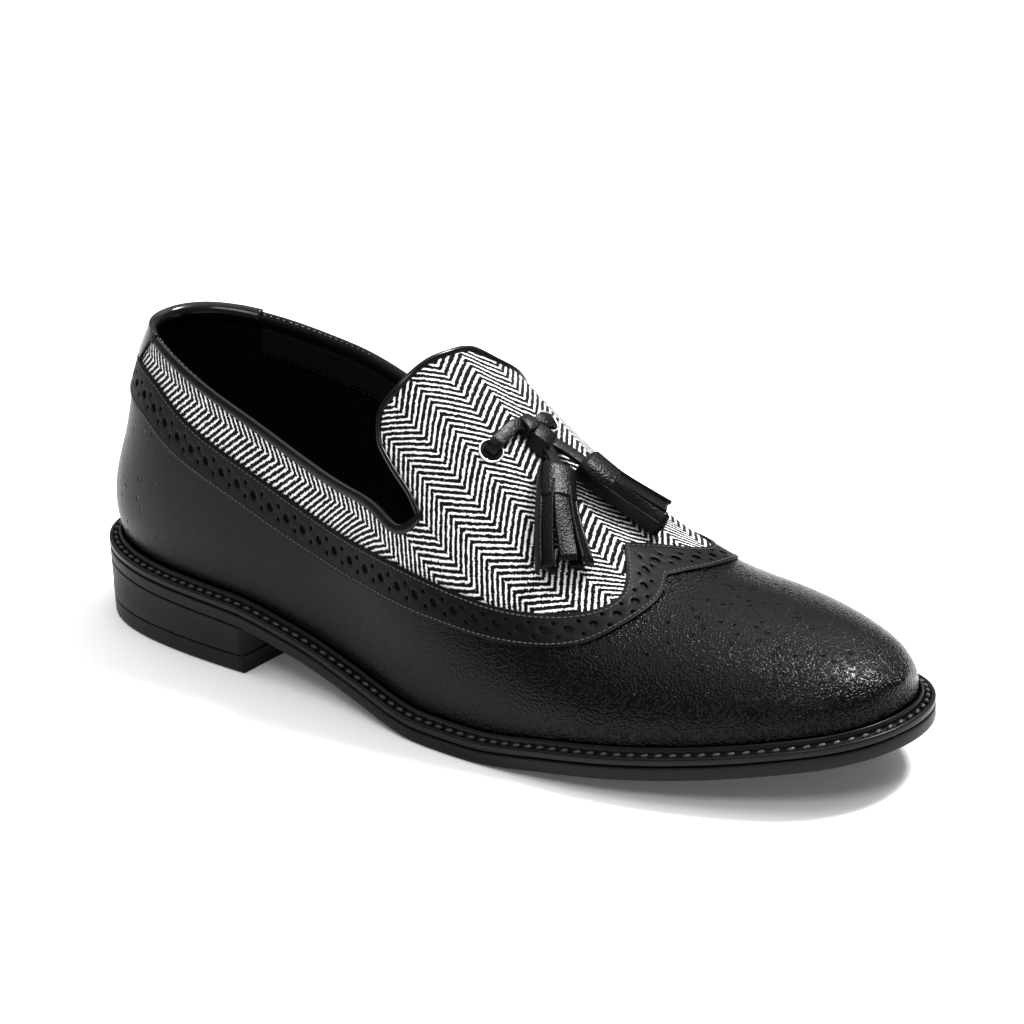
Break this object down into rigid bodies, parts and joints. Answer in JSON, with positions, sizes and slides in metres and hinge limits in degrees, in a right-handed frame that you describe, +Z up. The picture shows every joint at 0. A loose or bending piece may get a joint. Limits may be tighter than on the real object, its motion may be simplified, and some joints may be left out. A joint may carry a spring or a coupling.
{
  "type": "tassel loafer",
  "caption": "Right-foot tassel loafer: hollow leather and tweed upper with a wingtip band, welted sole with a low stacked heel.",
  "frame": {"origin": "middle of the shoe's length and width, on the floor under the sole", "axes": "+X from heel to toe, +Y to the medial (inner) side, -Y to the lateral (outer) side, +Z up; the shoe stands on z = 0"},
  "size_m": [0.3, 0.106, 0.1083],
  "materials": {
    "black_leather": "satin, fine grain",
    "tweed": "black and white herringbone wool over a leather shell",
    "sole_leather": "smooth inked edge",
    "lift_rubber": "satin",
    "lining": "matt black lining leather",
    "silver_metal": "polished nickel"
  },
  "bodies": {
    "root": {"outsole": "sole_leather", "heel_block": "sole_leather", "heel_lift": "lift_rubber", "welt": "sole_leather", "insole": "lining", "upper": "tweed", "wing_band": "black_leather", "collar_binding": "black_leather", "heel_tab": "black_leather", "eyelet_lateral": "silver_metal", "eyelet_medial": "silver_metal", "lace_side_near": "black_leather", "lace_side_far": "black_leather", "lace_knot": "black_leather", "lace_end_near": "black_leather", "lace_end_far": "black_leather", "tassel_near": "black_leather", "tassel_far": "black_leather"}
  },
  "joints": []
}
